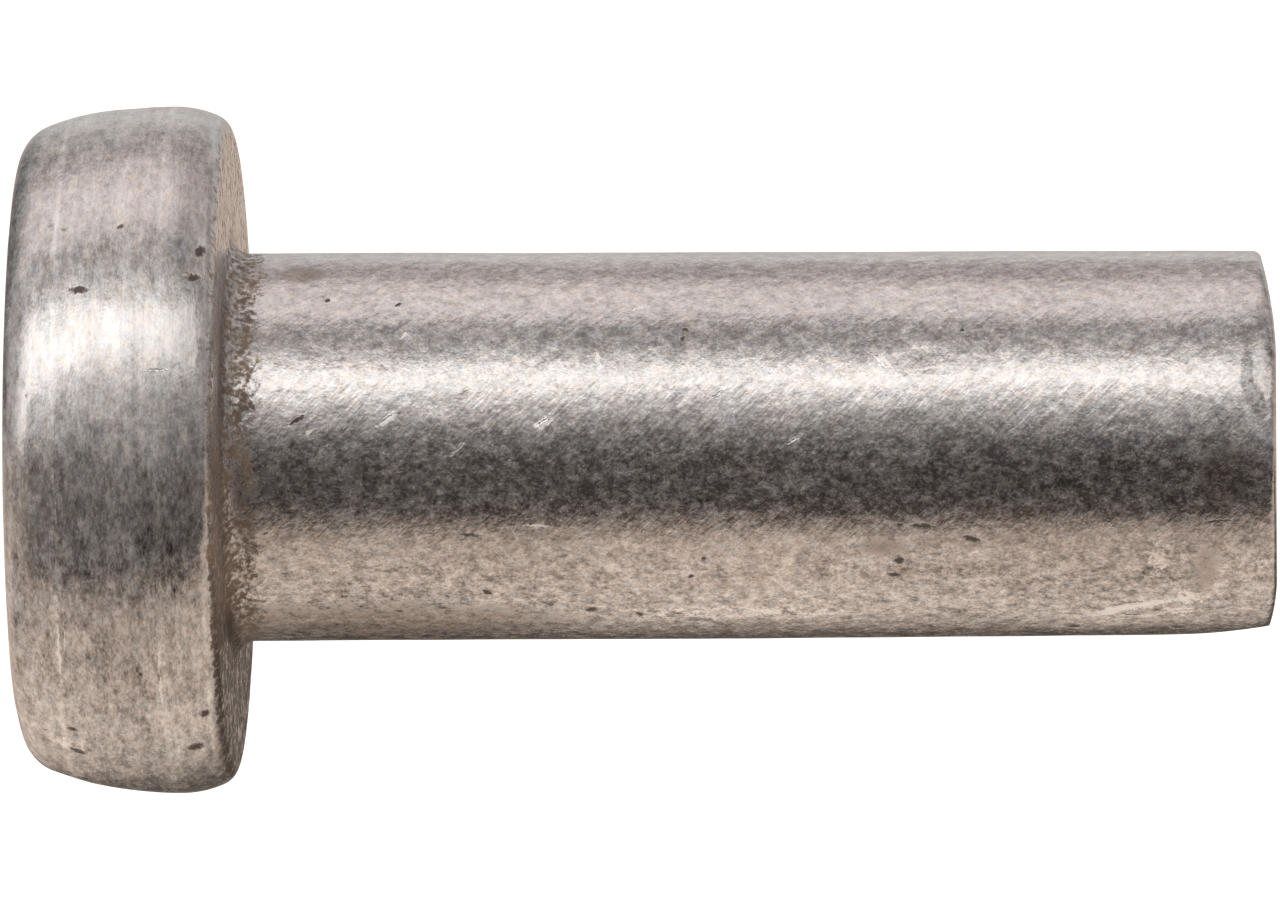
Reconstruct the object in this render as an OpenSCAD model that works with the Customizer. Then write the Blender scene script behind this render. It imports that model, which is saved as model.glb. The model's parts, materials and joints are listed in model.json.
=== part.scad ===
// Flat head rivet: a solid steel rivet, cold headed from one length of wire.
// It stands on the outer face of its head, with the origin at the centre of that face and +Z along the shank.
// The shank was cut off with a shear, which rolled its end over on the +X side.

/* [Shank] */
// Diameter of the shank
shank_d = 6; // [3:0.5:9]
// Length of the shank from the head's underside to its end
shank_l = 16.2; // [8:0.1:60]
// Radius of the edge of the sheared end
end_edge_r = 0.25; // [0.05:0.05:0.5]
// Depth that the shear rolled the end over on one side
rollover_depth = 0.2; // [0.1:0.05:0.6]
// Length of shank that the rollover takes up
rollover_l = 2; // [1:0.25:5]

/* [Head] */
// Diameter of the head at its widest
head_d = 10.7; // [9:0.1:20]
// Height of the head
head_h = 3.3; // [2:0.1:6]
// Distance from the underside down to the level where the head is widest
head_widest_drop = 0.85; // [0.8:0.05:1.3]
// Radius of the barrelled side of the head
head_side_r = 6.6; // [4:0.2:20]
// Radius of the shoulder between the outer face and the side
head_shoulder_r = 0.65; // [0.3:0.05:1.1]
// Radius of the corner between the side and the underside
head_corner_r = 0.65; // [0.2:0.05:0.8]
// Radius of the fillet between the underside and the shank
fillet_r = 0.3; // [0.1:0.05:0.6]

/* [Hidden] */
// Fineness of the round surfaces
$fn = 160;
// Overlap of shapes that are joined, and reach of cuts past what they cut
slack = 0.5;

shank_r = shank_d / 2;
total_h = head_h + shank_l;

// The side of the head is an arc about side_centre. A smaller arc of radius r about a centre at height z touches
// it from inside where that centre's distance from the axis is inner_x(r, z).
side_centre = [head_d / 2 - head_side_r, head_h - head_widest_drop];
function inner_x(r, z) = side_centre.x + sqrt(pow(head_side_r - r, 2) - pow(z - side_centre.y, 2));
// The point of the side's arc where it meets the arc about a centre
function touch(centre) = side_centre + head_side_r * (centre - side_centre) / norm(centre - side_centre);

shoulder = [inner_x(head_shoulder_r, head_shoulder_r), head_shoulder_r];
corner = [inner_x(head_corner_r, head_h - head_corner_r), head_h - head_corner_r];

// The rollover is an arc from the shank's side to its end. It leaves the side at a third of the slope between the
// two points, so that it starts at a faint line.
roll_slope = atan(rollover_depth / rollover_l);
roll_start_slope = roll_slope / 3;
roll_r = norm([rollover_depth, rollover_l]) / (2 * sin(roll_slope - roll_start_slope));
roll_centre = [
    shank_r - roll_r * cos(roll_start_slope),
    total_h - rollover_l - roll_r * sin(roll_start_slope)
];

// Half section of the head: a core with straight edges, the bulge of the side, the shoulder and the corner
module head_section() {
    polygon([
        [0, 0], [shoulder.x, 0], shoulder, touch(shoulder),
        touch(corner), corner, [corner.x, head_h], [0, head_h]
    ]);
    intersection() {
        translate(side_centre) circle(head_side_r);
        polygon([
            shoulder, 2 * touch(shoulder) - shoulder, 2 * touch(corner) - corner, corner
        ]);
    }
    translate(shoulder) circle(head_shoulder_r);
    translate(corner) circle(head_corner_r);
}

// Half section of the shank, with the round edge of its end
module shank_section() {
    polygon([
        [0, head_h - slack], [shank_r, head_h - slack],
        [shank_r, total_h - end_edge_r], [shank_r - end_edge_r, total_h], [0, total_h]
    ]);
    translate([shank_r - end_edge_r, total_h - end_edge_r]) circle(end_edge_r);
}

// Half section of the fillet under the head
module fillet_section() {
    difference() {
        translate([shank_r - slack, head_h - slack]) square(slack + fillet_r);
        translate([shank_r + fillet_r, head_h + fillet_r]) circle(fillet_r);
    }
}

// What the shear rolled away from the +X side of the end
module rollover() {
    reach = shank_d + 2 * slack;
    difference() {
        translate([roll_centre.x, -reach / 2, roll_centre.y])
            cube([reach + roll_r, reach, total_h - roll_centre.y + slack]);
        translate([roll_centre.x, 0, roll_centre.y]) rotate([90, 0, 0])
            cylinder(r = roll_r, h = reach + slack, center = true);
    }
}

module rivet() {
    color([0.63, 0.59, 0.57])
    difference() {
        rotate_extrude() {
            head_section();
            shank_section();
            fillet_section();
        }
        rollover();
    }
}

rivet();
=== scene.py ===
"""Looks for the flat head rivet: a detailed mesh of its worn steel, a small photo studio and a camera.

Lengths are in millimetres and become metres when the mesh, stage and camera are made. The rivet stands on its
head at the origin with its shank along +Z. A turn is an angle round the rivet, in degrees: 0 faces the camera
(-Y) and 90 faces +X. A height is a distance along the rivet from the head's outer face.
"""

import json
import math

import bpy
import numpy as np
from mathutils import Matrix, Vector


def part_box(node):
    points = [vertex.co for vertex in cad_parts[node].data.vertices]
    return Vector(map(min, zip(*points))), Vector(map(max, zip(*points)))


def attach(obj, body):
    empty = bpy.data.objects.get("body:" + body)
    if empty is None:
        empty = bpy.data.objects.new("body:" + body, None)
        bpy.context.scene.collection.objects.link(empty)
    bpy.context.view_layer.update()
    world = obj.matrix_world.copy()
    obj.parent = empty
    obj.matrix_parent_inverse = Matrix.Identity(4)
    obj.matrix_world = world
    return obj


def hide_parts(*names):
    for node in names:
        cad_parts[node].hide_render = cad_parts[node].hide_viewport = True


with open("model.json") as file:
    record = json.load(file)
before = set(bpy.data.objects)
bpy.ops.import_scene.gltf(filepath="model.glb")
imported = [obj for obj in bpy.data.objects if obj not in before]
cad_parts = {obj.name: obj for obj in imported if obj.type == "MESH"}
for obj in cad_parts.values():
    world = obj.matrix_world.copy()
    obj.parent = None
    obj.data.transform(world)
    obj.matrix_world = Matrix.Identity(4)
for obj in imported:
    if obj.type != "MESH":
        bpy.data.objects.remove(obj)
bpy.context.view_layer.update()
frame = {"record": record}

MM = 0.001

# ---------------------------------------------------------------- sizes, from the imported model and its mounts

box_low, box_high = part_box("rivet")
mounts = {mount["name"]: mount for mount in frame["record"]["mounts"]}
TOTAL_H = box_high.z / MM
HEAD_R = (box_high.x - box_low.x) / 2 / MM
HEAD_H = mounts["head_seat"]["pos_m"][2] / MM
SHANK_R = mounts["shank"]["dims"]["r_mm"]

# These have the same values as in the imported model
SIDE_R = 6.6
WIDEST_DROP = 0.85
SHOULDER_R = 0.65
FILLET_R = 0.3

# ---------------------------------------------------------------- how this rivet strays from the ideal one

# The head sits off the shank's axis, towards +X, and tumbling took a little off its radius
HEAD_OFF_CENTRE = 0.02
HEAD_WORN_OFF = 0.03
# The underside lies lower than it should, and slopes up towards +X
UNDERSIDE_RISE = -0.035
UNDERSIDE_SLOPE = 0.0045
# The corner between side and underside bends gently at first, then tightly from this angle on
CORNER_BEND_R = 1.6
CORNER_ANGLE = 24
# The shear rolled the end over on the +X side, and its cut drops towards +Y
ROLLOVER_DEPTH = 0.21
ROLLOVER_L = 2.0
ROLLOVER_SOFTNESS = 0.015
END_DROP = 0.2
# Towards -X and +X the end drops off past a line: side, distance of the line from the axis, and the drop 1 mm
# past it. The drop grows with the square of the distance past the line.
CORNER_DROPS = [(-1, 1.35, 0.08), (1, 2.2, 0.20)]
# The shank's radius shrinks by this much towards its end
SHANK_TAPER = 0.04
# The end's edge is sharp. Where the shear pressed it, the shank bends in before it, from a crease on. The
# angles are the slopes at the start and end of that bend, where it is strongest.
EDGE_R = 0.14
PRESSED_R = 1.5
PRESSED_ANGLES = (4, 22)
PRESSED_TURN = -20
PRESSED_WIDTH = 30
# It bends by at least this angle all round, so that no two rings fall together
LEAST_BEND = 1

# Uneven rolling and tumbling: size and height of the lumps
LUMPS = [(2.6, 0.010), (0.9, 0.0035), (0.36, 0.0015)]
# Dents pressed into the surface: turn, height, length, width, tilt and depth, which is negative for a bulge
DENTS = [
    (-26, 14.1, 1.10, 0.62, -8, 0.016),
    (-33, 14.9, 0.50, 0.35, 20, 0.006),
    (-12, 6.6, 1.30, 0.50, 10, 0.006),
    (30, 17.7, 1.10, 0.70, 0, 0.010),
    (44, 10.5, 0.95, 0.20, -70, 0.010),
    (60, 18.2, 0.90, 0.50, 5, 0.010),
    (52, 12.6, 1.60, 0.90, 0, 0.008),
    (-55, 4.9, 1.20, 0.60, 0, 0.008),
    (-28, 1.22, 0.30, 0.12, 5, 0.014),
    (-31, 3.0, 0.30, 0.20, 0, 0.012),
    (61, 2.83, 0.26, 0.16, 0, 0.012),
    (66, 0.75, 0.60, 0.30, 20, 0.015),
    (85, 0.30, 1.50, 5.00, 0, 0.030),
    (-90, 1.00, 1.60, 4.50, 0, -0.030),
]
SCATTERED_DENTS = 60

# Number of points round each ring, and of steps along each part of the half section
SEGMENTS = 320
SHOULDER_STEPS = 18
SIDE_STEPS = 24
BEND_STEPS = 12
CORNER_STEPS = 14
SEAT_STEPS = 14
FILLET_STEPS = 10
SHANK_STEPS = 144
PRESSED_STEPS = 10
EDGE_STEPS = 12

# Noise repeats after this many lumps
LATTICE = 32


# ---------------------------------------------------------------- shapes in plain numbers

def smooth_step(low, high, value):
    """0 below low, 1 above high, and a smooth rise between them"""
    share = np.clip((value - low) / (high - low), 0, 1)
    return share * share * (3 - 2 * share)


def noise(points, size, seed):
    """Smooth noise between -1 and 1, for an array of points, with lumps about size across"""
    lattice = np.random.default_rng(seed).uniform(-1, 1, (LATTICE,) * 3)
    scaled = points / size
    cell = np.floor(scaled).astype(int)
    share = scaled - cell
    share = share * share * (3 - 2 * share)
    total = np.zeros(points.shape[:-1])
    for corner in np.ndindex(2, 2, 2):
        index = (cell + corner) % LATTICE
        weight = np.prod(np.where(np.array(corner) == 1, share, 1 - share), axis=-1)
        total += weight * lattice[index[..., 0], index[..., 1], index[..., 2]]
    return total


def shares(steps):
    """The shares of the way after each of some equal steps"""
    return np.linspace(0, 1, steps + 1)[1:]


def arc(centre, radius, start, end, steps):
    """Points of an arc in the half section. Angles are in degrees from the outward direction towards +Z."""
    angles = np.radians(np.linspace(start, end, steps + 1))
    return np.array(centre) + radius * np.stack([np.cos(angles), np.sin(angles)], axis=1)


def head_outline():
    """Half section of the head from the edge of its outer face to the edge of its underside"""
    side = np.array([HEAD_R - HEAD_WORN_OFF - SIDE_R, HEAD_H - WIDEST_DROP])
    reach = math.sqrt((SIDE_R - SHOULDER_R) ** 2 - (SHOULDER_R - side[1]) ** 2)
    shoulder = np.array([side[0] + reach, SHOULDER_R])
    shoulder_end = math.degrees(math.atan2(*(shoulder - side)[::-1]))
    bend = side + np.array([SIDE_R - CORNER_BEND_R, 0])
    bent = arc(bend, CORNER_BEND_R, 0, CORNER_ANGLE, BEND_STEPS)[1:]
    sine, cosine = math.sin(math.radians(CORNER_ANGLE)), math.cos(math.radians(CORNER_ANGLE))
    corner_r = (HEAD_H - bent[-1][1]) / (1 - sine)
    corner = bent[-1] - corner_r * np.array([cosine, sine])
    return np.concatenate([
        arc(shoulder, SHOULDER_R, -90, shoulder_end, SHOULDER_STEPS),
        arc(side, SIDE_R, shoulder_end, 0, SIDE_STEPS)[1:],
        bent,
        arc(corner, corner_r, CORNER_ANGLE, 90, CORNER_STEPS)[1:],
    ])


def rings():
    """The rivet without its flat ends, as arrays of radius and height: one row a ring, one column a turn"""
    turn = turns()
    pressed = np.exp(-(((turn - PRESSED_TURN) / PRESSED_WIDTH) ** 2))
    first, last = (np.radians(angle * pressed) for angle in PRESSED_ANGLES)
    last = last + math.radians(LEAST_BEND)
    top = TOTAL_H - END_DROP * (1 - np.cos(np.radians(turn))) / 2
    for side, line, drop in CORNER_DROPS:
        top = top - drop * np.maximum(side * SHANK_R * np.sin(np.radians(turn)) - line, 0) ** 2
    crease = top - EDGE_R * (1 - np.sin(last)) - PRESSED_R * (np.sin(last) - np.sin(first))
    even = np.ones(SEGMENTS)

    rows = [(r * even, z * even) for r, z in head_outline()]
    seat_edge = rows[-1][0][0]
    for share in shares(SEAT_STEPS):
        rows.append(((seat_edge + share * (SHANK_R + FILLET_R - seat_edge)) * even, rows[-1][1]))
    shank_start = HEAD_H + FILLET_R
    for r, z in arc((SHANK_R + FILLET_R, shank_start), FILLET_R, 270, 180, FILLET_STEPS)[1:]:
        rows.append((r * even, z * even))
    for share in shares(SHANK_STEPS):
        tapered_r = SHANK_R - SHANK_TAPER * share ** 2
        rows.append((tapered_r * even, shank_start + share * (crease - shank_start)))
    for share in shares(PRESSED_STEPS):
        angle = first + share * (last - first)
        drop_in = PRESSED_R * (np.cos(first) - np.cos(angle))
        rows.append((SHANK_R - SHANK_TAPER - drop_in, crease + PRESSED_R * (np.sin(angle) - np.sin(first))))
    bent_r = rows[-1][0]
    for share in shares(EDGE_STEPS):
        angle = last + share * (math.pi / 2 - last)
        rows.append((bent_r - EDGE_R * (np.cos(last) - np.cos(angle)), top - EDGE_R * (1 - np.sin(angle))))
    return np.array([r for r, z in rows]), np.array([z for r, z in rows])


def turns():
    """The turn of each vertex of a ring, from -180 to 180"""
    return (np.arange(SEGMENTS) + 0.5) / SEGMENTS * 360 - 180


def on_turn(radius, height, turn):
    """The point at a radius, a height and a turn"""
    angle = np.radians(turn)
    return np.stack([radius * np.sin(angle), -radius * np.cos(angle), height + 0 * angle], axis=-1)


def disc_grid(count):
    """A square grid bent into a disc of radius 1, whose rim has 4 * count evenly spaced points"""
    u, v = np.meshgrid(np.linspace(-1, 1, count + 1), np.linspace(-1, 1, count + 1), indexing="ij")
    wide = np.abs(u) >= np.abs(v)
    radius = np.where(wide, u, v)
    with np.errstate(divide="ignore", invalid="ignore"):
        angle = np.where(wide, math.pi / 4 * v / u, math.pi / 2 - math.pi / 4 * u / v)
    angle = np.nan_to_num(angle)
    return radius * np.cos(angle), radius * np.sin(angle)


def scattered_dents():
    """Small random dents all over the rivet, as it has from tumbling with others"""
    random = np.random.default_rng(8)
    dents = []
    for _ in range(SCATTERED_DENTS):
        turn = random.uniform(-180, 180)
        height = random.uniform(0.5, TOTAL_H - 0.3)
        length, width = random.uniform(0.15, 0.5), random.uniform(0.1, 0.25)
        dents.append((turn, height, length, width, random.uniform(-90, 90), random.uniform(0.002, 0.006)))
    return dents


def wear(points):
    """How far the surface at each point lies outside its ideal place, along its normal"""
    total = sum(depth * noise(points, size, seed) for seed, (size, depth) in enumerate(LUMPS))
    turn = np.degrees(np.arctan2(points[..., 0], -points[..., 1]))
    radius = np.hypot(points[..., 0], points[..., 1])
    for at_turn, at_height, length, width, tilt, depth in DENTS + scattered_dents():
        along = points[..., 2] - at_height
        round_it = np.radians((turn - at_turn + 180) % 360 - 180) * radius
        cos, sin = math.cos(math.radians(tilt)), math.sin(math.radians(tilt))
        u = (along * cos + round_it * sin) / (length / 2)
        v = (round_it * cos - along * sin) / (width / 2)
        total = total - depth * np.clip(1 - u * u - v * v, 0, 1) ** 1.5
    return total


def stray(points):
    """Points of the ideal rivet moved to where this rivet has them, for its underside, head and rollover"""
    x, y, z = points[..., 0], points[..., 1], points[..., 2]
    # The head's side and the shank follow the underside, less and less away from it
    near_seat = smooth_step(1.6, HEAD_H - 0.3, z) * (1 - smooth_step(HEAD_H + 0.3, HEAD_H + 2, z))
    rise = near_seat * (UNDERSIDE_RISE + UNDERSIDE_SLOPE * x)
    in_head = 1 - smooth_step(HEAD_H - 0.1, HEAD_H + FILLET_R, z)
    # The rollover starts at a third of its mean slope. What lies past it is pushed back, with a soft start.
    share = np.clip((z - (TOTAL_H - ROLLOVER_L)) / ROLLOVER_L, 0, 1)
    reach = SHANK_R - ROLLOVER_DEPTH * (share + 2 * share ** 2) / 3
    past = (x - reach) / ROLLOVER_SOFTNESS
    rolled = ROLLOVER_SOFTNESS * np.logaddexp(0, past) * smooth_step(0, 0.15, share)
    rolled = np.where(z > HEAD_H + FILLET_R, rolled, 0)
    return np.stack([x + HEAD_OFF_CENTRE * in_head - rolled, y, z + rise], axis=-1)


def grid_normals(wall):
    """Normals of a grid of points whose rows are rings"""
    round_it = np.roll(wall, -1, axis=1) - np.roll(wall, 1, axis=1)
    along = np.gradient(wall, axis=0)
    normal = np.cross(round_it, along)
    return normal / np.linalg.norm(normal, axis=-1, keepdims=True)


# ---------------------------------------------------------------- the mesh

def rivet_mesh():
    """The whole rivet as one closed mesh: its wall of rings, and a disc of quads on each end"""
    radius, height = rings()
    ideal = on_turn(radius, height, turns()[None, :])
    wall = stray(ideal)
    wall = wall + grid_normals(wall) * wear(ideal)[..., None]
    ring_count = len(wall)
    index = np.arange(ring_count * SEGMENTS).reshape(ring_count, SEGMENTS)
    after = np.roll(index, -1, axis=1)
    vertices = [wall.reshape(-1, 3)]
    faces = [np.stack([index[:-1], after[:-1], after[1:], index[1:]], axis=-1).reshape(-1, 4)]

    count = SEGMENTS // 4
    grid_x, grid_y = disc_grid(count)
    share = np.hypot(grid_x, grid_y)
    column = (np.degrees(np.arctan2(grid_x, -grid_y)) + 180) / 360 * SEGMENTS - 0.5
    before = np.floor(column).astype(int)
    part = (column - before)[..., None]
    rim = share > 1 - 0.5 / count
    start = index.size
    for ring, facing in ((0, -1), (ring_count - 1, 1)):
        loop = wall[ring]
        edge = loop[before % SEGMENTS] * (1 - part) + loop[(before + 1) % SEGMENTS] * part
        middle = loop.mean(axis=0)
        points = middle + (edge - middle) * share[..., None]
        # The wear fades out at the rim, which has its own from the wall
        points[..., 2] += facing * wear(points) * (1 - smooth_step(0.9, 1, share))
        number = np.where(rim, index[ring][np.round(column).astype(int) % SEGMENTS], -1)
        number[~rim] = start + np.arange((~rim).sum())
        start += (~rim).sum()
        vertices.append(points[~rim])
        quads = np.stack([number[:-1, :-1], number[1:, :-1], number[1:, 1:], number[:-1, 1:]], axis=-1)
        faces.append(quads.reshape(-1, 4)[:, ::-facing])
    vertices = np.concatenate(vertices)
    # The high spots of both ends are worn flat
    vertices[:, 2] = np.clip(vertices[:, 2], 0, TOTAL_H)
    return vertices, np.concatenate(faces)


def make_object(name, vertices, faces):
    mesh = bpy.data.meshes.new(name)
    mesh.from_pydata((vertices * MM).tolist(), [], faces.tolist())
    mesh.polygons.foreach_set("use_smooth", np.ones(len(faces), bool))
    mesh.validate()
    mesh.update()
    piece = bpy.data.objects.new(name, mesh)
    bpy.context.scene.collection.objects.link(piece)
    return piece


# ---------------------------------------------------------------- shader nodes

class Graph:
    """Makes the nodes of one tree. An input may be a number, a colour, a vector or another node's output."""

    def __init__(self, tree):
        self.tree = tree

    def add(self, kind, inputs=(), result=0, **settings):
        """A new node with its settings and inputs, listed in order or by name. Gives its output."""
        node = self.tree.nodes.new("ShaderNode" + kind)
        for name, value in settings.items():
            setattr(node, name, value)
        named = inputs.items() if isinstance(inputs, dict) else enumerate(inputs)
        for socket, value in named:
            if isinstance(value, bpy.types.NodeSocket):
                self.tree.links.new(value, node.inputs[socket])
            else:
                node.inputs[socket].default_value = value
        return node.outputs[result]

    def math(self, operation, *values):
        return self.add("Math", values, operation=operation)

    def times(self, first, *others):
        for other in others:
            first = self.math("MULTIPLY", first, other)
        return first

    def plus(self, first, *others):
        for other in others:
            first = self.math("ADD", first, other)
        return first

    def rise(self, value, low, high):
        """0 below low, 1 above high, and a smooth rise between them. Low may be the higher, for a fall."""
        ends = {"Value": value, "From Min": low, "From Max": high}
        return self.add("MapRange", ends, interpolation_type="SMOOTHSTEP")

    def hump(self, value, middle, width):
        """1 at the middle, falling smoothly to 0 at a width to either side"""
        return self.rise(self.math("ABSOLUTE", self.math("SUBTRACT", value, middle)), width, 0)

    def between(self, share, low, high):
        """The number a share of the way from low to high"""
        return self.plus(low, self.times(share, self.math("SUBTRACT", high, low)))

    def tint(self, share, colour, other):
        """The colour a share of the way from one colour to another"""
        return self.add("Mix", {0: share, 6: colour, 7: other}, result=2, data_type="RGBA")

    def scaled(self, place, x, y, z):
        return self.add("VectorMath", [place, (x, y, z)], operation="MULTIPLY")

    def noise(self, place, size, detail=2, roughness=0.5):
        """Noise from about -1 to 1, with lumps about size across"""
        inputs = {"Vector": place, "Scale": 1 / size, "Detail": detail, "Roughness": roughness}
        # The node's own noise lies about 0.5, and mostly within 0.3 of it
        return self.math("MULTIPLY_ADD", self.add("TexNoise", inputs), 3.2, -1.6)

    def ramp(self, share, stops):
        """A colour from stops, each a position and a colour"""
        colour = self.add("ValToRGB", [share])
        elements = colour.node.color_ramp.elements
        while len(elements) > 1:
            elements.remove(elements[-1])
        for number, (position, value) in enumerate(stops):
            stop = elements[0] if number == 0 else elements.new(position)
            stop.position = position
            stop.color = (*value, 1)
        return colour


# ---------------------------------------------------------------- the marks on the steel

# Marks: turn, height, length, width, tilt from the rivet's axis towards a greater turn, and for some their
# strength, which otherwise is 1. The lists hold the marks on the camera's side.
SCRATCHES = [
    (-7.6, 4.40, 0.50, 0.07, -32),
    (-7.8, 5.80, 0.46, 0.06, -38),
    (-7.0, 8.21, 0.42, 0.06, -39),
    (-26.8, 9.05, 0.42, 0.05, 80),
    (-25.4, 13.38, 0.50, 0.06, 46),
    (-43.3, 14.42, 0.50, 0.06, -28),
    (24.0, 8.11, 0.50, 0.04, 2),
    (-25.0, 14.25, 0.95, 0.05, -14),
    (55.5, 17.36, 0.75, 0.05, 2),
    (60.0, 17.6, 0.50, 0.05, 4),
    (-13.0, 2.42, 0.42, 0.07, -4),
    (12.0, 0.85, 1.80, 0.04, 89),
    (36.0, 0.88, 2.60, 0.05, 91),
    (38.0, 2.37, 2.20, 0.05, 89),
    (62.0, 0.85, 0.70, 0.06, 20),
    (1.0, 6.9, 0.45, 0.05, -42),
    (-1.5, 12.1, 0.40, 0.05, -30),
    (-15.0, 10.9, 0.40, 0.05, -36),
    (-16.0, 7.0, 0.36, 0.05, -30),
]
PITS = [
    (-7.9, 4.44, 0.40, 0.10, -32),
    (2.1, 10.20, 0.64, 0.04, -10),
    (-36.6, 10.39, 0.16, 0.10, 0),
    (-33.0, 10.36, 0.10, 0.14, 0),
    (-36.0, 14.66, 0.13, 0.08, 0),
    (48.4, 7.30, 0.22, 0.14, 30),
    (57.4, 8.89, 0.26, 0.18, 5),
    (60.2, 9.63, 0.18, 0.14, 40),
    (24.9, 14.05, 0.46, 0.13, 5),
    (24.5, 13.70, 0.18, 0.10, 10),
    (29.3, 14.80, 0.36, 0.13, 20),
    (36.6, 13.67, 0.24, 0.18, 0),
    (42.0, 13.59, 0.30, 0.12, 8),
    (42.5, 10.45, 0.12, 0.12, 0),
    (35.6, 10.66, 0.12, 0.10, 0),
    (71.3, 16.29, 0.34, 0.22, 0),
    (72.7, 17.91, 0.40, 0.22, 0),
    (-28.0, 1.20, 0.40, 0.16, 5),
    (-30.0, 2.96, 0.40, 0.20, -10),
    (-35.5, 3.05, 0.20, 0.34, 20),
    (-42.6, 0.71, 0.14, 0.13, -50, 0.45),
    (-41.0, 0.93, 0.18, 0.13, 30, 0.5),
    (-40.1, 1.81, 0.22, 0.12, -40, 0.6),
    (-9.3, 0.41, 0.09, 0.10, 0, 0.5),
    (60.8, 2.83, 0.32, 0.30, 0),
    (51.5, 3.02, 0.22, 0.20, 50),
    (56.9, 0.94, 0.22, 0.14, 0),
    (64.6, 0.98, 0.40, 0.22, 25),
    (-49.0, 4.85, 0.11, 0.11, 0),
    (-47.0, 5.95, 0.17, 0.07, -25),
    (24.0, 18.6, 0.60, 0.08, -4),
    (62.5, 17.2, 0.35, 0.05, 2),
]
# Brown smears, and a long brown darkening along the shank near the head on the +X side
SMEARS = [
    (-62.6, 4.45, 0.80, 0.62, 0, 2.0),
    (-48.5, 8.90, 0.26, 0.16, 0),
    (42.0, 18.35, 0.60, 1.70, 10, 0.5),
    (-36.0, 10.4, 0.20, 0.50, 0),
    (32.0, 13.4, 1.10, 0.36, 0, 0.6),
    # a long brown darkening along the shank near the head on the +X side
    (64.0, 5.6, 7.50, 1.50, 0),
    (10.0, 18.7, 1.0, 1.2, 0),
]
# Light scuffs, where the steel is bare and bright
SCUFFS = [
    (-7.8, 5.80, 0.46, 0.12, -38),
    (-7.3, 8.19, 0.36, 0.12, -39),
    (56.0, 17.35, 0.70, 0.08, 0),
    (37.0, 17.65, 0.50, 1.00, 8),
    (61.0, 17.95, 0.90, 0.34, 0),
    (57.5, 17.30, 1.30, 0.24, -10, 1.6),
    (62.0, 16.85, 0.50, 0.14, -10, 1.3),
    (53.0, 18.15, 0.60, 0.50, 0),
    (38.6, 19.2, 0.30, 0.34, 0),
    (-43.3, 14.44, 0.42, 0.10, -28),
    (24.3, 8.11, 0.52, 0.09, 2),
    (-26.8, 9.05, 0.40, 0.09, 80),
    (-25.4, 13.38, 0.50, 0.10, 46),
    (60.0, 11.0, 4.00, 0.50, 0),
    (63.0, 0.80, 1.00, 0.60, 20),
]
# Broad patches, whose strength is how much lighter they are. One is painted shade inside a dent.
PATCHES = [
    # darker along the shank near the head on the +X side
    (66, 5.6, 8.5, 2.2, 0, -0.45),
    (38, 11.2, 5.5, 3.2, 0, 0.15),
    (68, 16.8, 4.5, 0.9, 0, 0.45),
    (45, 16.5, 3.5, 2.4, 0, -0.12),
    (12, 16.5, 7.0, 2.2, 0, -0.30),
    (42, 2.0, 1.4, 3.0, 0, -0.08),
    (18, 2.45, 0.8, 1.7, 0, -0.40),
    (0, 2.30, 1.7, 1.5, 0, 0.35),
    # painted shade inside a dent
    (-26.5, 14.0, 1.0, 0.40, -8, -0.28),
]
# Thin dark lines, and three bands of painted shade on the end's bend that shape its highlight
CREASES_AND_END_SHADE = [
    # painted shade on the end's bend, in three bands
    (-21.0, 19.05, 1.30, 0.26, 90),
    (-12.5, 19.22, 0.85, 0.34, 75),
    (-29.0, 19.40, 0.40, 0.18, 60),
    (2.1, 10.20, 0.80, 0.07, -10),
    (17.0, 10.6, 0.60, 0.08, -8),
    (27.0, 7.1, 0.50, 0.07, 4),
]
# Nicks and scored lines, whose fresh steel is brightest, and two painted highlights: on a dent's rim and on the
# end's bend
NICKS_AND_GLINTS = [
    (-7.8, 5.84, 0.46, 0.09, -33),
    (-6.2, 8.26, 0.42, 0.09, -38),
    (-26.8, 9.06, 0.40, 0.08, 82),
    (-25.2, 13.50, 0.52, 0.08, 44),
    (-43.3, 14.50, 0.20, 0.07, -28),
    (24.0, 8.12, 0.50, 0.05, 2),
    (-4.4, 4.62, 0.24, 0.07, -34),
    (-44.5, 9.62, 0.28, 0.05, -20),
    (-34.5, 6.05, 0.26, 0.05, -60),
    (-20.2, 11.15, 0.30, 0.05, -40),
    # painted highlight on the rim of a dent
    (-23.0, 14.10, 0.90, 0.06, -10, 0.8),
    # painted highlight on the end's bend
    (-19.0, 19.40, 0.16, 0.70, 0),
    (58.5, 17.10, 1.10, 0.24, -12),
    (55.5, 17.60, 0.80, 0.18, -10),
    (61.5, 16.85, 0.50, 0.18, -5),
    (54.0, 18.05, 0.40, 0.26, 0, 0.8),
    (37.0, 0.83, 2.70, 0.06, 90, 0.8),
    (33.0, 0.93, 1.20, 0.05, 90, 0.6),
    (42.0, 2.38, 2.40, 0.06, 90, 0.7),
]
# Pits on the sides that the camera doesn't see: their number, and the turns that they lie between
SCATTERED_PITS = 34
SCATTERED_TURNS = (85, 275)

# How far marks reach to either side of the surface
MARK_REACH = 0.5

# Rings that the head's tool left round its side, and a painted highlight along the corner: height, width and
# how much lighter they are
HEAD_RINGS_AND_CORNER_HIGHLIGHT = [
    (0.80, 0.07, 0.26),
    (1.13, 0.22, 0.07),
    (1.52, 0.10, -0.08),
    (1.80, 0.14, 0.07),
    (2.09, 0.10, -0.09),
    (2.42, 0.08, 0.14),
    # a painted highlight along the head's corner
    (3.10, 0.06, 0.20),
]


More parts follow.
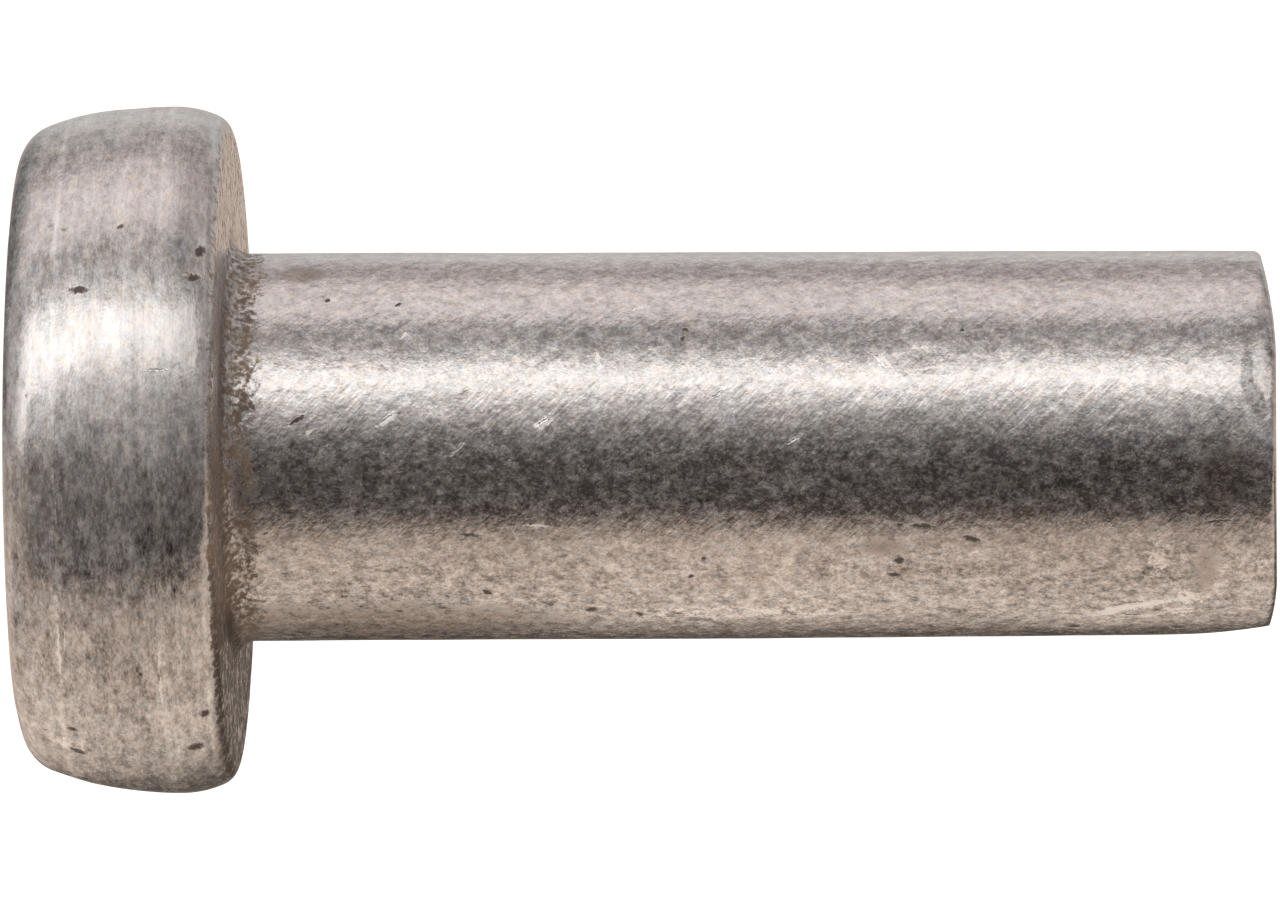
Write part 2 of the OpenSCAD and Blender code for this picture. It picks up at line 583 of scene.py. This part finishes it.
def mark_maps(graph, place, marks):
    """The sum of all marks. Each has its strength along its middle and falls evenly to 0 at its edge."""
    total = 0.0
    for turn, height, length, width, tilt, *strength in marks:
        radius = HEAD_R - 0.1 if height < HEAD_H else SHANK_R
        outward = Vector(on_turn(1.0, 0.0, turn))
        round_it = Vector((0, 0, 1)).cross(outward)
        along = math.cos(math.radians(tilt)) * Vector((0, 0, 1)) + math.sin(math.radians(tilt)) * round_it
        turned = Matrix((along, outward.cross(along), outward)).transposed().to_euler()
        inputs = {
            "Vector": place,
            "Location": on_turn(radius, height, turn),
            "Rotation": turned,
            "Scale": (length / 2, width / 2, MARK_REACH),
        }
        inside = graph.add("Mapping", inputs, vector_type="TEXTURE")
        mark = graph.add("TexGradient", [inside], result=1, gradient_type="SPHERICAL")
        total = graph.plus(graph.times(mark, *strength), total)
    return total


def broken_up(graph, marks, *jitter, limits, edge):
    """How strongly marks show, from 0 to 1, where noise breaks up their outlines.

    The limits are the sums of marks and noise that give 0 and 1. Marks weaker than edge fade out.
    """
    strength = graph.rise(graph.plus(marks, *jitter), *limits)
    return graph.times(strength, graph.rise(marks, 0, edge))


def scattered_pits():
    """Pits on the sides that the camera doesn't see"""
    random = np.random.default_rng(21)
    pits = []
    for _ in range(SCATTERED_PITS):
        turn = random.uniform(*SCATTERED_TURNS)
        height = random.uniform(0.6, TOTAL_H - 0.3)
        length, width = random.uniform(0.1, 0.3), random.uniform(0.07, 0.12)
        pits.append((turn, height, length, width, random.uniform(-40, 40)))
    return pits


# Colours of the steel, and of what lies on it
COOL_STEEL = (0.575, 0.59, 0.60, 1)
WARM_STEEL = (0.625, 0.59, 0.555, 1)
# Fresh steel, also the colour of the painted highlights
FRESH_STEEL_AND_GLINT = (0.97, 0.95, 0.92, 1)
SMEAR_BROWN = (0.30, 0.24, 0.19, 1)
DARK_RUST = (0.15, 0.115, 0.085, 1)
LIGHT_RUST = (0.34, 0.24, 0.155, 1)
PIT_BROWN = (0.07, 0.052, 0.042, 1)
# painted shade under the head
UNDERSIDE_SHADE_BROWN = (0.045, 0.03, 0.02, 1)
END_BROWN = (0.60, 0.42, 0.28, 1)

# Sizes of the lumps of each kind of noise
BROAD = 2.2
BLOTCH = 0.7
GRAIN = 0.18
TINT_GRAIN = 0.2
PEBBLE = 0.16
SPECK = 0.085
FLECK = 0.07
STREAK = 0.12
DRAWN_PATCH = 0.11
SPIRAL_PATCH = 0.1
TURNED_LINE = 0.05
TURNED_BAND = 0.4
SHEARED_LINE = 0.09

# Heights of the relief. On the shank the pebbles stand higher towards the head.
PEBBLE_RELIEF = (0.0016, 0.0027)
PATCH_RELIEF = 0.0006
SPIRAL_RELIEF = 0.0015
HEAD_PEBBLE_RELIEF = 0.0011
TURNED_RELIEF = 0.0005
TURNED_BAND_RELIEF = 0.0012
SHEARED_RELIEF = 0.006
END_BLOTCH_RELIEF = 0.01
GRAIN_RELIEF = 0.0013
GRIME_RELIEF = 0.0022
SCRATCH_RELIEF = 0.010
PIT_RELIEF = 0.010
# How far the outlines of marks stray, and the size of the lumps that they stray by
RAGGED = 0.07
RAGGED_SIZE = 0.06

# How much the grain shows in the tone of clean and of tarnished steel, on the shank and on the head
CLEAN_GRAIN = (0.6, 0.5)
TARNISHED_GRAIN = (1.05, 0.85)
# How metallic the steel is, and how much less in the grain, on the shank and on the head
METALLIC = 0.962
METALLIC_GRAIN = (-0.14, -0.10)
# Roughness on the shank and on the head, and under grime
ROUGHNESS = (0.21, 0.25)
GRIME_ROUGHNESS = 0.62


def steel():
    """Bare tumbled steel: drawn and pebbled on the shank, turned on the head, with marks, grime, and some
    painted shade and highlights
    """
    material = bpy.data.materials.new("worn_steel")
    material.use_nodes = True
    graph = Graph(material.node_tree)
    shader = material.node_tree.nodes["Principled BSDF"]

    # The place on the rivet, in millimetres
    coordinates = graph.add("TexCoord", result=3)
    place = graph.add("VectorMath", {0: coordinates, "Scale": 1 / MM}, operation="SCALE")
    east, north, height = graph.add("SeparateXYZ", [place]).node.outputs
    level = graph.scaled(place, 1, 1, 0)
    radius = graph.add("VectorMath", [level], result=1, operation="LENGTH")

    # Where each part of the rivet is: 1 there and 0 elsewhere
    on_shank = graph.rise(height, HEAD_H - 0.02, HEAD_H + 0.35)
    on_head = graph.math("SUBTRACT", 1, on_shank)
    on_end = graph.rise(height, TOTAL_H - 0.5, TOTAL_H - 0.3)
    on_end = graph.times(on_end, graph.rise(radius, SHANK_R - 0.12, SHANK_R - 0.3))
    near_head = graph.rise(height, 9.5, HEAD_H + 0.5)
    underside = graph.times(graph.rise(height, HEAD_H - 0.18, HEAD_H - 0.06), on_head)
    in_fillet = graph.times(
        graph.rise(height, HEAD_H - 0.4, HEAD_H - 0.1),
        graph.rise(height, HEAD_H + 0.68, HEAD_H + 0.32),
        graph.rise(radius, SHANK_R + 0.6, SHANK_R + 0.1),
        0.68,
    )
    # The +X side has tarnished more than the rest
    tarnish = graph.rise(east, 0.9, 2.1)
    # The tool left the middle of the head's side duller, which shows where it has tarnished
    turned_dull = graph.times(graph.rise(height, 0.86, 0.92), graph.rise(height, 2.36, 2.30), tarnish)
    # The side is a little darker before the corner: painted shade where its highlight fades
    corner_shade = graph.times(graph.rise(height, 2.60, 2.66), graph.rise(height, 2.95, 2.85))

    # Noise of several kinds. The grain is drawn out along the shank and round the head.
    broad = graph.noise(place, BROAD, 3)
    blotch = graph.noise(place, BLOTCH, 3, 0.6)
    pebble = graph.noise(place, PEBBLE, 2, 0.55)
    shank_z = graph.between(on_shank, 1, 0.8)
    head_xy = graph.between(on_shank, 0.45, 1)
    drawn_place = graph.add("CombineXYZ", [
        graph.times(east, head_xy),
        graph.times(north, head_xy),
        graph.times(height, shank_z),
    ])
    grain = graph.noise(drawn_place, GRAIN, 3, 1)
    tint_grain = graph.noise(graph.scaled(drawn_place, 1.2, 1.2, 1.2), TINT_GRAIN, 3, 1)
    # Streaks that run out from the axis, for the underside
    radii = graph.add("CombineXYZ", [radius, radius, 1])
    radial_place = graph.add("VectorMath", [level, radii], operation="DIVIDE")
    outwards = graph.add("CombineXYZ", [0, 0, graph.times(radius, 0.22)])
    radial_place = graph.add("VectorMath", [graph.scaled(radial_place, 4, 4, 1), outwards], operation="ADD")
    radial = graph.noise(radial_place, STREAK, 3, 1)
    speck = graph.noise(place, SPECK, 2, 0.7)
    fleck = graph.rise(graph.noise(graph.scaled(drawn_place, 1, 1, 0.8), FLECK, 2, 0.6), 0.42, 1.1)
    # Patches drawn out along the shank, and others that wind round it
    drawn_patch = graph.noise(graph.scaled(place, 1, 1, 0.3), DRAWN_PATCH, 2)
    twist = graph.times(height, 1 / SHANK_R)
    spiral_place = graph.add("VectorRotate", {"Vector": place, "Angle": twist}, rotation_type="Z_AXIS")
    spiral = graph.noise(graph.scaled(spiral_place, 1, 1, 0.3), SPIRAL_PATCH, 2)
    # Fine and broad lines round the head, and lines across the end
    turned = graph.noise(graph.scaled(place, 0.05, 0.05, 1), TURNED_LINE, 2)
    turned_band = graph.noise(graph.scaled(place, 0.04, 0.04, 1), TURNED_BAND, 1)
    sheared = graph.noise(graph.scaled(place, 0.08, 1, 1), SHEARED_LINE, 3)

    # Marks, with ragged outlines
    ragged = graph.add("TexNoise", {"Vector": place, "Scale": 1 / RAGGED_SIZE, "Detail": 1}, result=1)
    ragged = graph.add("VectorMath", [ragged, (0.5, 0.5, 0.5)], operation="SUBTRACT")
    ragged = graph.add("VectorMath", {0: ragged, "Scale": RAGGED}, operation="SCALE")
    ragged = graph.add("VectorMath", [place, ragged], operation="ADD")
    scratches = mark_maps(graph, ragged, SCRATCHES)
    pits = mark_maps(graph, ragged, PITS + scattered_pits())
    smears = mark_maps(graph, ragged, SMEARS)
    scuffs = mark_maps(graph, ragged, SCUFFS)
    patches = mark_maps(graph, place, PATCHES)
    creases_and_end_shade = graph.rise(mark_maps(graph, ragged, CREASES_AND_END_SHADE), 0.05, 0.5)
    nicks_and_glints = mark_maps(graph, ragged, NICKS_AND_GLINTS)
    nicks_and_glints = broken_up(graph, nicks_and_glints, graph.times(grain, 0.4), limits=(0.1, 0.6), edge=0.2)
    pits = broken_up(graph, pits, graph.times(grain, 0.5), limits=(0.02, 0.6), edge=0.2)
    smear_jitter = graph.times(grain, 0.7), graph.times(blotch, 0.2)
    smears = broken_up(graph, smears, *smear_jitter, limits=(0.05, 0.7), edge=0.25)
    scuffs = broken_up(graph, scuffs, graph.times(grain, 0.8), limits=(0.1, 0.8), edge=0.25)
    # Tool rings, and a painted highlight along the head's corner
    rings_and_corner_highlight = 0.0
    wobbly_height = graph.plus(height, graph.times(blotch, 0.03))
    for ring_height, width, lighter in HEAD_RINGS_AND_CORNER_HIGHLIGHT:
        ring = graph.times(graph.hump(wobbly_height, ring_height, width), lighter)
        rings_and_corner_highlight = graph.plus(rings_and_corner_highlight, ring)
    rings_and_corner_highlight = graph.times(rings_and_corner_highlight, on_head, graph.math("MULTIPLY_ADD", broad, 0.6, 0.8))

    # The relief, in millimetres
    shank_relief = graph.plus(
        graph.times(pebble, graph.between(near_head, *PEBBLE_RELIEF)),
        graph.times(drawn_patch, PATCH_RELIEF),
        graph.times(spiral, SPIRAL_RELIEF),
    )
    head_relief = graph.plus(
        graph.times(turned, TURNED_RELIEF),
        graph.times(turned_band, TURNED_BAND_RELIEF),
        graph.times(pebble, HEAD_PEBBLE_RELIEF),
    )
    end_relief = graph.plus(
        graph.times(sheared, SHEARED_RELIEF),
        graph.times(blotch, END_BLOTCH_RELIEF),
    )
    # A scratch is a groove between two low banks
    groove_stops = [(0, 0.5), (0.2, 0.65), (0.5, 0.35), (0.95, 0.1)]
    groove = graph.ramp(scratches, [(where, (value,) * 3) for where, value in groove_stops])
    relief = graph.plus(
        graph.times(shank_relief, on_shank),
        graph.times(head_relief, on_head),
        graph.times(end_relief, on_end),
        graph.times(grain, GRAIN_RELIEF),
        graph.times(groove, SCRATCH_RELIEF),
        graph.times(pits, -PIT_RELIEF),
        graph.times(in_fillet, graph.plus(pebble, speck), GRIME_RELIEF),
    )
    bump = graph.add("Bump", {"Strength": 1, "Distance": MM, "Height": relief})

    # How much brown grime and painted shade cover the steel. Grime lies in the fillet; painted shade and grime
    # lie under the head, more so towards +X.
    under_head_shade_and_grime = graph.times(underside, graph.between(graph.rise(east, -4.0, 3.5), 0.38, 1.0))
    grime_and_underside_shade = graph.math("MAXIMUM", in_fillet, graph.plus(under_head_shade_and_grime, graph.times(radial, underside, 0.75)))
    grime_and_underside_shade = graph.plus(grime_and_underside_shade, graph.times(blotch, 0.16), graph.times(pebble, 0.5), graph.times(speck, 0.8))
    where_grime_and_shade_are = graph.rise(graph.plus(in_fillet, underside), 0, 0.2)
    grime_and_underside_shade = graph.times(graph.rise(grime_and_underside_shade, 0.25, 1.05), where_grime_and_shade_are, 0.92)
    dirt_and_underside_shade = graph.math("MAXIMUM", grime_and_underside_shade, graph.times(pits, 0.95))
    dirt_and_underside_shade = graph.math("MAXIMUM", dirt_and_underside_shade, graph.times(fleck, tarnish, 0.16))

    # The steel's tone, with some painted shade and highlights in it: 1 is average
    clean_grain = graph.between(on_head, *CLEAN_GRAIN)
    tarnished_grain = graph.between(on_head, *TARNISHED_GRAIN)
    tone = graph.plus(
        1,
        graph.times(grain, graph.between(tarnish, clean_grain, tarnished_grain)),
        graph.times(broad, 0.05),
        graph.times(blotch, 0.05),
        graph.times(pebble, 0.04),
        graph.times(turned, on_head, 0.08),
        graph.times(scuffs, 0.45),
        # thin dark lines, and painted shade on the end's bend
        graph.times(creases_and_end_shade, -0.5),
        patches,
        # tool rings, and a painted highlight along the head's corner
        rings_and_corner_highlight,
        graph.times(turned_dull, -0.08),
        # painted shade before the head's corner
        graph.times(corner_shade, -0.06),
    )
    warm = graph.rise(graph.plus(graph.times(broad, 0.2), graph.times(tint_grain, 1.8)), -1, 1)
    clean = graph.tint(warm, COOL_STEEL, WARM_STEEL)
    clean = graph.add("VectorMath", {0: clean, "Scale": tone}, operation="SCALE")
    clean = graph.tint(graph.times(smears, 0.5), clean, SMEAR_BROWN)
    # nicks, and painted highlights on a dent's rim and the end's bend
    clean = graph.tint(graph.times(nicks_and_glints, 0.85), clean, FRESH_STEEL_AND_GLINT)
    rust_and_shade_brown = graph.tint(graph.rise(blotch, -0.6, 0.8), DARK_RUST, LIGHT_RUST)
    rust_and_shade_brown = graph.tint(graph.rise(pits, 0.3, 0.9), rust_and_shade_brown, PIT_BROWN)
    # Under the head the painted shade and grime are darkest on the +X side
    east_underside_shade = graph.times(graph.rise(height, HEAD_H - 0.2, HEAD_H - 0.04), on_head)
    east_underside_shade = graph.times(east_underside_shade, graph.rise(east, 1.8, 3.6))
    rust_and_shade_brown = graph.tint(east_underside_shade, rust_and_shade_brown, UNDERSIDE_SHADE_BROWN)
    # rust and pits, and the painted shade under the head
    colour = graph.tint(dirt_and_underside_shade, clean, rust_and_shade_brown)
    colour = graph.tint(graph.times(on_end, 0.5), colour, END_BROWN)

    roughness = graph.plus(
        graph.between(on_head, *ROUGHNESS),
        graph.times(grain, 0.12),
        graph.times(blotch, 0.03),
        graph.times(turned_band, on_head, 0.04),
        graph.times(on_end, 0.2),
    )
    roughness = graph.math("MAXIMUM", roughness, 0.1)
    roughness = graph.between(nicks_and_glints, roughness, 0.45)
    roughness = graph.between(dirt_and_underside_shade, roughness, GRIME_ROUGHNESS)
    metallic = graph.plus(
        METALLIC,
        graph.times(on_head, -0.025),
        graph.times(near_head, -0.015),
        graph.times(grain, graph.between(on_head, *METALLIC_GRAIN)),
    )
    metallic = graph.between(nicks_and_glints, graph.math("MINIMUM", metallic, 1), 0.62)
    metallic = graph.between(dirt_and_underside_shade, metallic, 0.3)

    results = {"Base Color": colour, "Roughness": roughness, "Metallic": metallic, "Normal": bump}
    for socket, value in results.items():
        graph.tree.links.new(value, shader.inputs[socket])
    return material


# ---------------------------------------------------------------- studio

STAGE_R = 900
FLOOR_SEGMENTS = 96
FLOOR_COLOUR = (0.9, 0.9, 0.9, 1)
FLOOR_ROUGHNESS = 0.9
FLOOR_GLOW = 0.9

# Colours of light
WHITE = (1.00, 0.95, 0.92)
ROSE = (1.00, 0.87, 0.84)
PALE = (1.00, 0.91, 0.89)
UMBER = (1.00, 0.82, 0.76)
SAND = (1.00, 0.80, 0.67)
DUNE = (1.00, 0.83, 0.71)
PLAIN = (1.00, 1.00, 1.00)
LAMP = (1.00, 0.96, 0.93)

# The light tent round the rivet: turn, colour and brightness of each panel
TENT = [
    (-180, SAND, 0.78),
    (-162, PLAIN, 0.55),
    (-149, WHITE, 0.83),
    (-142, PALE, 0.65),
    (-134, PALE, 0.47),
    (-117, ROSE, 0.56),
    (-111, ROSE, 0.96),
    (-84, PALE, 1.05),
    (-77, PALE, 0.38),
    (-60, PALE, 0.45),
    (-30, PALE, 0.43),
    (-14, PALE, 0.33),
    (-5, PALE, 0.20),
    (0, PALE, 0.155),
    (8, UMBER, 0.09),
    (38, UMBER, 0.075),
    (42, SAND, 0.12),
    (47, SAND, 0.29),
    (55, SAND, 0.62),
    (64, SAND, 0.69),
    (84, SAND, 0.68),
    (110, DUNE, 0.82),
    (121, DUNE, 0.74),
    (131, DUNE, 0.52),
    (143, SAND, 0.28),
    (155, SAND, 0.10),
    (168, SAND, 0.075),
]
# Light from far below is mostly this instead: how far it comes from +X, from -1 to 1, colour and brightness
BELOW = [
    (-0.30, PALE, 0.40),
    (-0.23, PALE, 0.48),
    (-0.12, PALE, 0.52),
    (-0.01, PALE, 0.36),
    (0.07, SAND, 0.23),
    (0.18, SAND, 0.22),
    (0.25, SAND, 0.26),
    (0.35, SAND, 0.25),
    (0.55, SAND, 0.27),
    (0.70, SAND, 0.55),
]
BELOW_FROM = (-28, -60)
BELOW_SHARE = 0.85
# It is brighter in front, by this share. How far it comes from +Y says where, again from -1 to 1.
BELOW_BRIGHTER = 0.35
BELOW_FRONT = (-0.08, -0.32)
# Behind the rivet it has a bright spot: how far that comes from +X, its width and brightness
SPOT_BELOW = (0.19, 0.14, 0.55)
SPOT_BEHIND = (0.05, 0.35)
# Light from below and behind is dimmer on the -X side, by this share
BEHIND_DIMMER = 0.8
BEHIND_LEVELS = (-8, -22)
BEHIND_TURNS = (-112, -160)
BEHIND_BOTTOM = (-62, -48)
# Light from a little below is brighter in front and dimmer on the +X side, and there it starts further round
LOW_LEVELS = (-3, -12)
LOW_BRIGHTER = 0.27
LOW_BRIGHTER_TURNS = (-25, 75)
LOW_BRIGHTER_LEVELS = (-46, -34)
LOW_DIMMER = 0.10
LOW_DIMMER_FROM = (40, 60)
LOW_DIMMER_TO = (120, 100)
LOW_LEAN = 6
LOW_LEAN_TURNS = (15, 35)
# It also reaches further behind there, with this brightness
LOW_BEHIND = 0.74
LOW_BEHIND_LEVELS = (-6, -20)
LOW_BEHIND_TURNS = (115, 138)
# Light from above is dimmer on the -X side, by this share
ABOVE_DIMMER = 0.42
ABOVE_TURNS = (-100, 90)
ABOVE_FROM = (2, 14)
# The main light: turn and brightness. It ends a little above the level of the camera. Below that level it
# reaches a little further towards -X, and far below it also reaches further towards +X.
MAIN_LIGHT = [
    (-64, 0),
    (-54, 0.17),
    (-46, 0.98),
    (-42, 1.32),
    (-37, 1.23),
    (-28, 0.44),
    (-20, 0.17),
    (-10, 0),
]
MAIN_TOP = (13, 20)
MAIN_BOTTOM = (-85, -50)
MAIN_SPREAD = 0.28
MAIN_SPREAD_MOST = 5
MAIN_LEAN = 0.8
MAIN_LEAN_FROM = -28
# A small light above it: its direction, and the angles from there at which it starts and is full
TOP_LIGHT_FROM = (-0.60, -0.67, 0.44)
TOP_LIGHT_SPREAD = (18, 9)
TOP_LIGHT = 0.95


def make_tent():
    """Soft light from all sides: a light tent with bright panels, dim gaps and the dark side of the camera.

    The camera itself sees plain white in place of the tent.
    """
    world = bpy.data.worlds.new("tent")
    bpy.context.scene.world = world
    world.use_nodes = True
    world.node_tree.nodes.clear()
    graph = Graph(world.node_tree)
    direction = graph.add("TexCoord")
    x, y, z = graph.add("SeparateXYZ", [direction]).node.outputs
    turn = graph.math("DEGREES", graph.math("ARCTAN2", x, graph.times(y, -1)))
    level = graph.math("DEGREES", graph.math("ARCSINE", z))

    def panels(turn, stops):
        share = graph.add("MapRange", {"Value": turn, "From Min": -180, "From Max": 180})
        return graph.ramp(share, [((where + 180) / 360, colour) for where, colour in stops])

    tent = [(where, tuple(channel * glow for channel in colour)) for where, colour, glow in TENT]
    low = graph.rise(level, *LOW_LEVELS)
    low_lean = graph.times(low, graph.rise(turn, *LOW_LEAN_TURNS), -LOW_LEAN)
    fill = panels(graph.plus(turn, low_lean), tent + [(180, tent[0][1])])
    dimmer = graph.times(graph.rise(level, *ABOVE_FROM), graph.hump(turn, *ABOVE_TURNS), -ABOVE_DIMMER)
    fill = graph.add("VectorMath", {0: fill, "Scale": graph.plus(dimmer, 1)}, operation="SCALE")
    low_behind = graph.times(graph.rise(level, *LOW_BEHIND_LEVELS), graph.rise(turn, *LOW_BEHIND_TURNS))
    fill = graph.tint(low_behind, fill, (*(channel * LOW_BEHIND for channel in SAND), 1))
    below = [((where + 1) / 2, tuple(channel * glow for channel in colour)) for where, colour, glow in BELOW]
    below = graph.ramp(graph.math("MULTIPLY_ADD", x, 0.5, 0.5), below)
    spot_at, spot_width, spot_glow = SPOT_BELOW
    spot = graph.times(graph.hump(x, spot_at, spot_width), graph.rise(y, *SPOT_BEHIND), spot_glow)
    spot = graph.add("VectorMath", {0: SAND, "Scale": spot}, operation="SCALE")
    below = graph.add("VectorMath", [below, spot], operation="ADD")
    below_gain = graph.math("MULTIPLY_ADD", graph.rise(y, *BELOW_FRONT), BELOW_BRIGHTER, 1)
    below = graph.add("VectorMath", {0: below, "Scale": below_gain}, operation="SCALE")
    fill = graph.tint(graph.times(graph.rise(level, *BELOW_FROM), BELOW_SHARE), fill, below)
    behind = graph.times(graph.rise(level, *BEHIND_LEVELS), graph.rise(turn, *BEHIND_TURNS), BEHIND_DIMMER)
    behind = graph.times(behind, graph.rise(level, *BEHIND_BOTTOM))
    fill = graph.tint(behind, fill, (0, 0, 0, 1))
    # A ramp holds no number above 1, so the main light is halved in it and doubled after it
    stops = [(where, (glow / 2,) * 3) for where, glow in MAIN_LIGHT]
    # The spread and the lean move the main light's panels towards -X and +X
    spread = graph.add("Clamp", {0: graph.times(level, -MAIN_SPREAD), "Max": MAIN_SPREAD_MOST})
    lean = graph.math("MINIMUM", graph.times(graph.plus(level, -MAIN_LEAN_FROM), MAIN_LEAN), 0)
    spread_light = panels(graph.plus(turn, spread), stops)
    leaning_light = panels(graph.plus(turn, lean), stops)
    main = graph.math("MAXIMUM", spread_light, leaning_light)
    main = graph.times(main, 2, graph.rise(level, *MAIN_TOP[::-1]), graph.rise(level, *MAIN_BOTTOM))
    above = Vector(TOP_LIGHT_FROM).normalized()
    above = graph.add("VectorMath", [direction, tuple(above)], result=1, operation="DOT_PRODUCT")
    far, near = (math.cos(math.radians(angle)) for angle in TOP_LIGHT_SPREAD)
    above = graph.times(graph.rise(above, far, near), TOP_LIGHT)
    lamps = graph.add("VectorMath", {0: LAMP, "Scale": graph.plus(main, above)}, operation="SCALE")
    light = graph.add("VectorMath", [fill, lamps], operation="ADD")
    brighter = graph.times(graph.hump(turn, *LOW_BRIGHTER_TURNS), graph.rise(level, *LOW_BRIGHTER_LEVELS))
    brighter = graph.times(brighter, LOW_BRIGHTER)
    dimmer = graph.times(graph.rise(turn, *LOW_DIMMER_FROM), graph.rise(turn, *LOW_DIMMER_TO), -LOW_DIMMER)
    low_gain = graph.math("MULTIPLY_ADD", low, graph.plus(brighter, dimmer), 1)
    light = graph.add("VectorMath", {0: light, "Scale": low_gain}, operation="SCALE")
    seen = graph.add("LightPath")
    light = graph.tint(seen, light, (1, 1, 1, 1))
    background = graph.add("Background", [light])
    output = world.node_tree.nodes.new("ShaderNodeOutputWorld")
    world.node_tree.links.new(background, output.inputs["Surface"])


def make_floor():
    """A pale, softly glowing floor"""
    angles = np.radians(np.arange(FLOOR_SEGMENTS) / FLOOR_SEGMENTS * 360)
    rim = np.stack([STAGE_R * np.cos(angles), STAGE_R * np.sin(angles), 0 * angles], axis=1)
    floor = make_object("floor", rim, np.array([np.arange(FLOOR_SEGMENTS)]))
    material = bpy.data.materials.new("pale_floor")
    material.use_nodes = True
    shader = material.node_tree.nodes["Principled BSDF"]
    shader.inputs["Base Color"].default_value = FLOOR_COLOUR
    shader.inputs["Roughness"].default_value = FLOOR_ROUGHNESS
    shader.inputs["Emission Color"].default_value = (1, 1, 1, 1)
    shader.inputs["Emission Strength"].default_value = FLOOR_GLOW
    floor.data.materials.append(material)
    floor.visible_glossy = False
    floor.visible_shadow = False


# ---------------------------------------------------------------- camera

# The picture is 1280 x 900. The camera looks along +Y and a little down, and lies on its side, so that the
# rivet's shank points to the picture's right and -X is up.
PICTURE_W, PICTURE_H = 1280, 900
PIXELS_PER_MM = 64.6
CAMERA_RISE = 3.2
CAMERA_ROLL = 0.29
CAMERA_DISTANCE = 500
SENSOR_W = 36
# Where the picture shows the middle of the head's outer face
FACE_AT = (23.8, 448.6)


def make_camera():
    rise = math.radians(CAMERA_RISE)
    back = Vector((0, -math.cos(rise), math.sin(rise)))
    along = Vector((0, math.sin(rise), math.cos(rise)))
    up = Vector((-1, 0, 0))
    roll = Matrix.Rotation(math.radians(-CAMERA_ROLL), 3, back)
    along, up = roll @ along, roll @ up
    right_of_face = (PICTURE_W / 2 - FACE_AT[0]) / PIXELS_PER_MM
    below_face = (PICTURE_H / 2 - FACE_AT[1]) / PIXELS_PER_MM
    # The point of the plane through the rivet's axis that the middle of the picture shows
    middle = right_of_face * along - below_face * up
    data = bpy.data.cameras.new("camera")
    data.sensor_width = SENSOR_W
    data.lens = SENSOR_W * CAMERA_DISTANCE * PIXELS_PER_MM / PICTURE_W
    data.clip_start = 1 * MM
    data.clip_end = 10 * STAGE_R * MM
    camera = bpy.data.objects.new("camera", data)
    bpy.context.scene.collection.objects.link(camera)
    turned = Matrix((along, up, back)).transposed().to_4x4()
    camera.matrix_world = Matrix.Translation((middle + back * CAMERA_DISTANCE) * MM) @ turned
    bpy.context.scene.camera = camera


# ---------------------------------------------------------------- the scene

make_camera()
make_tent()
make_floor()
bpy.context.scene.view_settings.view_transform = "Standard"

rivet = make_object("worn_rivet", *rivet_mesh())
rivet.data.materials.append(steel())
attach(rivet, "root")
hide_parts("rivet")
